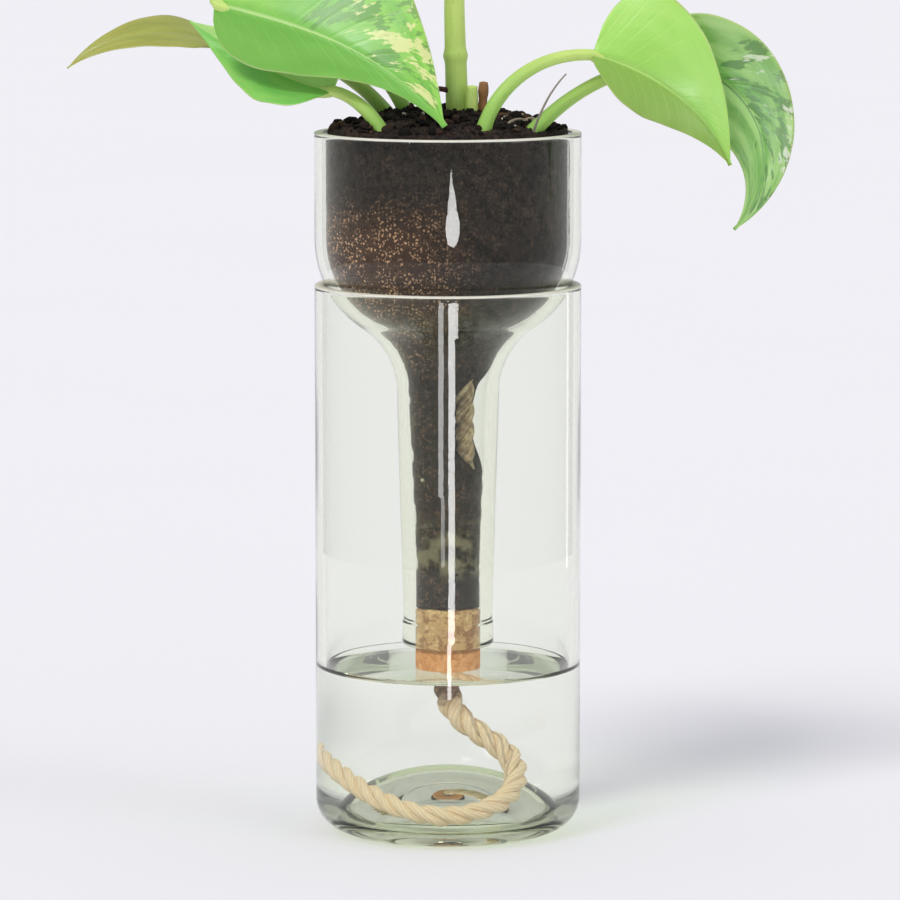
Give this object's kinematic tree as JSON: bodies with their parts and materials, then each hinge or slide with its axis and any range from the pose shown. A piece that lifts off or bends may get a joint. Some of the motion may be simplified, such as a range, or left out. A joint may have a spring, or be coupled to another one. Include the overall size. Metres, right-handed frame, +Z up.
{
  "type": "self-watering planter",
  "caption": "Bottle-cut glass self-watering planter: inverted pot with corked neck and rope wick, seated on a glass water reservoir, holding soil and a trailing variegated plant",
  "frame": {"origin": "centre of the foot on the standing plane", "axes": "+Z up along the bottle's axis, +X to the viewer's right, +Y away from the viewer"},
  "size_m": [0.2049, 0.075, 0.2842],
  "materials": {
    "glass": "clear polished glass with a faint green edge",
    "cork": "bare agglomerated cork",
    "rope": "twisted natural cotton rope",
    "soil": "moist dark potting compost",
    "stem": "smooth fresh green stem",
    "dry_stem": "dry brown fibre",
    "root": "dark red-brown root skin",
    "leaf_light": "satin light green leaf",
    "leaf_green": "satin green leaf with cream streaks",
    "leaf_olive": "satin olive leaf",
    "leaf_grey": "satin grey-green leaf with white streaks"
  },
  "bodies": {
    "base": {"reservoir": "glass"},
    "planting_pot": {"pot": "glass", "stopper": "cork", "wick_core": "rope", "wick_tail": "rope"},
    "plant": {"soil": "soil", "main_stem": "stem", "cut_sheath": "stem", "brown_stub": "dry_stem", "aerial_root": "root", "dry_fibre": "dry_stem", "petiole_left": "stem", "petiole_variegated": "stem", "petiole_far_left": "stem", "petiole_bright": "stem", "petiole_drooping": "stem", "leaf_left": "leaf_light", "leaf_variegated": "leaf_green", "leaf_far_left": "leaf_olive", "leaf_bright": "leaf_light", "leaf_drooping": "leaf_grey", "leaf_upper": "leaf_green"}
  },
  "joints": [
    {"name": "pot_lift", "type": "slide", "parent": "base", "child": "planting_pot", "axis": [0, 0, 1], "range_m": [0, 0.155]},
    {"name": "plant_lift", "type": "slide", "parent": "planting_pot", "child": "plant", "axis": [0, 0, 1], "range_m": [0, 0.14]}
  ]
}
